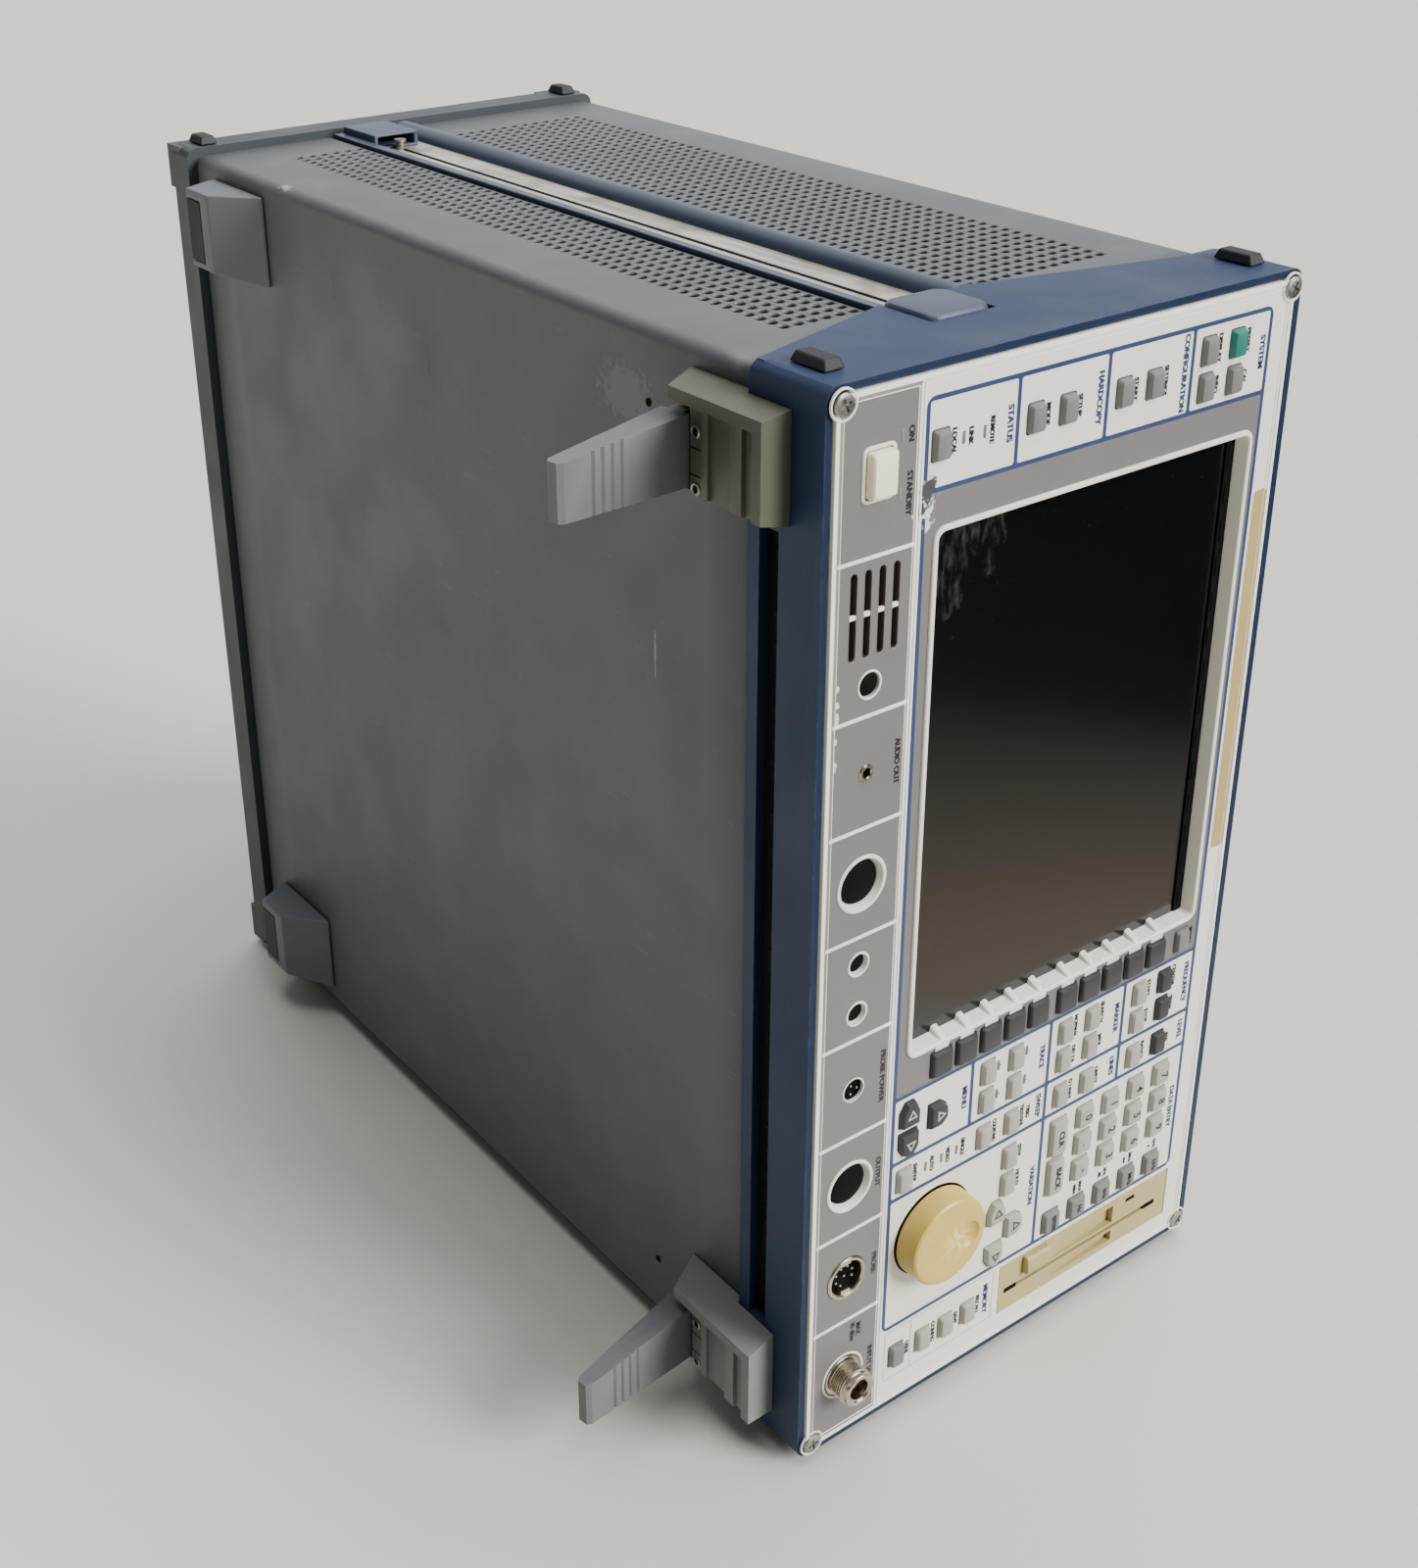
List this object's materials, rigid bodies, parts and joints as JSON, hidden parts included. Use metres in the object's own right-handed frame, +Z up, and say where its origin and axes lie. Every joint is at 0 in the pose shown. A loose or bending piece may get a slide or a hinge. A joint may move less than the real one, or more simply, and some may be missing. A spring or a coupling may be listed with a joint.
{
  "type": "spectrum analyzer",
  "caption": "Bench spectrum analyzer standing on its side, with display, keypad, knob, floppy slot, fold-out legs, side handle channels and bumpers.",
  "frame": {"origin": "centre of the part's bounding box at its lowest point, on the floor it stands on", "axes": "+Z up, +Y from the front panel to the rear, +X towards the instrument's own top cover"},
  "size_m": [0.2866, 0.469, 0.435],
  "materials": {
    "blue_paint": "satin",
    "grey_paint": "satin, fine texture",
    "frame_paint": "satin",
    "bare_aluminium": "satin, chromated",
    "steel": "smooth",
    "nickel": "nickel plated",
    "black_rubber": "matte",
    "cap_plastic": "satin",
    "foot_plastic": "satin",
    "leg_plastic": "satin",
    "cream_panel": "satin, printed",
    "light_key": "satin",
    "grey_key": "satin",
    "dark_key": "satin",
    "teal_key": "satin",
    "aged_cream": "satin, yellowed",
    "floppy_beige": "satin, yellowed",
    "ivory_button": "satin",
    "dark_glass": "clear over a dark display",
    "circuit_board": "solder mask",
    "black_plastic": "matte"
  },
  "bodies": {
    "case": {"chassis_tray": "bare_aluminium", "display_module": "black_plastic", "display_window": "dark_glass", "fan_frame": "black_plastic", "floppy_drive": "floppy_beige", "front_bezel": "blue_paint", "front_panel": "cream_panel", "keypad_board": "circuit_board", "knob_encoder": "steel", "left_foot_pad": "black_rubber", "left_front_foot": "foot_plastic", "left_front_lower_bumper": "black_rubber", "left_front_strap_cap": "cap_plastic", "left_front_upper_bumper": "black_rubber", "left_handle_channel": "bare_aluminium", "left_leg_pin": "steel", "left_rear_foot": "foot_plastic", "left_rear_lower_bumper": "black_rubber", "left_rear_strap_cap": "cap_plastic", "left_rear_upper_bumper": "black_rubber", "lower_cover": "grey_paint", "mains_inlet": "black_plastic", "power_supply": "bare_aluminium", "probe_socket": "nickel", "processor_board": "circuit_board", "rear_frame": "frame_paint", "rear_panel": "grey_paint", "rf_connector": "nickel", "rf_module": "bare_aluminium", "right_foot_pad": "black_rubber", "right_front_foot": "foot_plastic", "right_front_lower_bumper": "black_rubber", "right_front_strap_cap": "cap_plastic", "right_front_upper_bumper": "black_rubber", "right_handle_channel": "bare_aluminium", "right_leg_pin": "steel", "right_rear_foot": "foot_plastic", "right_rear_lower_bumper": "black_rubber", "right_rear_strap_cap": "cap_plastic", "right_rear_upper_bumper": "black_rubber", "speaker": "black_plastic", "upper_cover": "grey_paint"},
    "digit_keys": {"digit_keys": "light_key"},
    "eject_button": {"eject_button": "floppy_beige"},
    "fan": {"fan_rotor": "black_plastic"},
    "frequency_level_keys": {"frequency_level_keys": "dark_key"},
    "left_leg": {"left_flip_leg": "leg_plastic"},
    "marker_lines_keys": {"marker_lines_keys": "light_key"},
    "memory_keys": {"memory_keys": "light_key"},
    "menu_keys": {"menu_keys": "dark_key"},
    "power_button": {"power_button": "ivory_button"},
    "preset_key": {"preset_key": "teal_key"},
    "right_leg": {"right_flip_leg": "leg_plastic"},
    "setup_keys": {"setup_keys": "grey_key"},
    "softkeys": {"softkeys": "dark_key"},
    "step_keys": {"step_keys": "light_key"},
    "trace_sweep_keys": {"trace_sweep_keys": "light_key"},
    "knob": {"tuning_knob": "aged_cream"},
    "unit_keys": {"unit_keys": "grey_key"}
  },
  "joints": [
    {"name": "knob_turn", "type": "hinge", "parent": "case", "child": "knob", "pos_m": [-0.01343, -0.229, 0.084], "axis": [0, 1, 0], "continuous": true},
    {"name": "fan_spin", "type": "hinge", "parent": "case", "child": "fan", "pos_m": [0.07227, 0.202, 0.33], "axis": [0, 1, 0], "continuous": true},
    {"name": "power_press", "type": "slide", "parent": "case", "child": "power_button", "axis": [0, 1, 0], "range_m": [0, 0.002], "stiffness_N_per_m": 500},
    {"name": "eject_press", "type": "slide", "parent": "case", "child": "eject_button", "axis": [0, 1, 0], "range_m": [0, 0.003], "stiffness_N_per_m": 300},
    {"name": "left_leg_fold", "type": "hinge", "parent": "case", "child": "left_leg", "pos_m": [-0.08423, -0.1637, 0.399], "axis": [0, 0, 1], "range_deg": [-100.5, 0]},
    {"name": "right_leg_fold", "type": "hinge", "parent": "case", "child": "right_leg", "pos_m": [-0.08423, -0.1637, 0.0344], "axis": [0, 0, 1], "range_deg": [-100.5, 0]},
    {"name": "preset_press", "type": "slide", "parent": "case", "child": "preset_key", "axis": [0, 1, 0], "range_m": [0, 0.001], "stiffness_N_per_m": 500},
    {"name": "setup_press", "type": "slide", "parent": "case", "child": "setup_keys", "axis": [0, 1, 0], "range_m": [0, 0.001], "stiffness_N_per_m": 500},
    {"name": "softkeys_press", "type": "slide", "parent": "case", "child": "softkeys", "axis": [0, 1, 0], "range_m": [0, 0.001], "stiffness_N_per_m": 500},
    {"name": "frequency_level_press", "type": "slide", "parent": "case", "child": "frequency_level_keys", "axis": [0, 1, 0], "range_m": [0, 0.001], "stiffness_N_per_m": 500},
    {"name": "marker_lines_press", "type": "slide", "parent": "case", "child": "marker_lines_keys", "axis": [0, 1, 0], "range_m": [0, 0.001], "stiffness_N_per_m": 500},
    {"name": "trace_sweep_press", "type": "slide", "parent": "case", "child": "trace_sweep_keys", "axis": [0, 1, 0], "range_m": [0, 0.001], "stiffness_N_per_m": 500},
    {"name": "menu_press", "type": "slide", "parent": "case", "child": "menu_keys", "axis": [0, 1, 0], "range_m": [0, 0.001], "stiffness_N_per_m": 500},
    {"name": "digit_press", "type": "slide", "parent": "case", "child": "digit_keys", "axis": [0, 1, 0], "range_m": [0, 0.001], "stiffness_N_per_m": 500},
    {"name": "unit_press", "type": "slide", "parent": "case", "child": "unit_keys", "axis": [0, 1, 0], "range_m": [0, 0.001], "stiffness_N_per_m": 500},
    {"name": "step_press", "type": "slide", "parent": "case", "child": "step_keys", "axis": [0, 1, 0], "range_m": [0, 0.001], "stiffness_N_per_m": 500},
    {"name": "memory_press", "type": "slide", "parent": "case", "child": "memory_keys", "axis": [0, 1, 0], "range_m": [0, 0.001], "stiffness_N_per_m": 500}
  ]
}
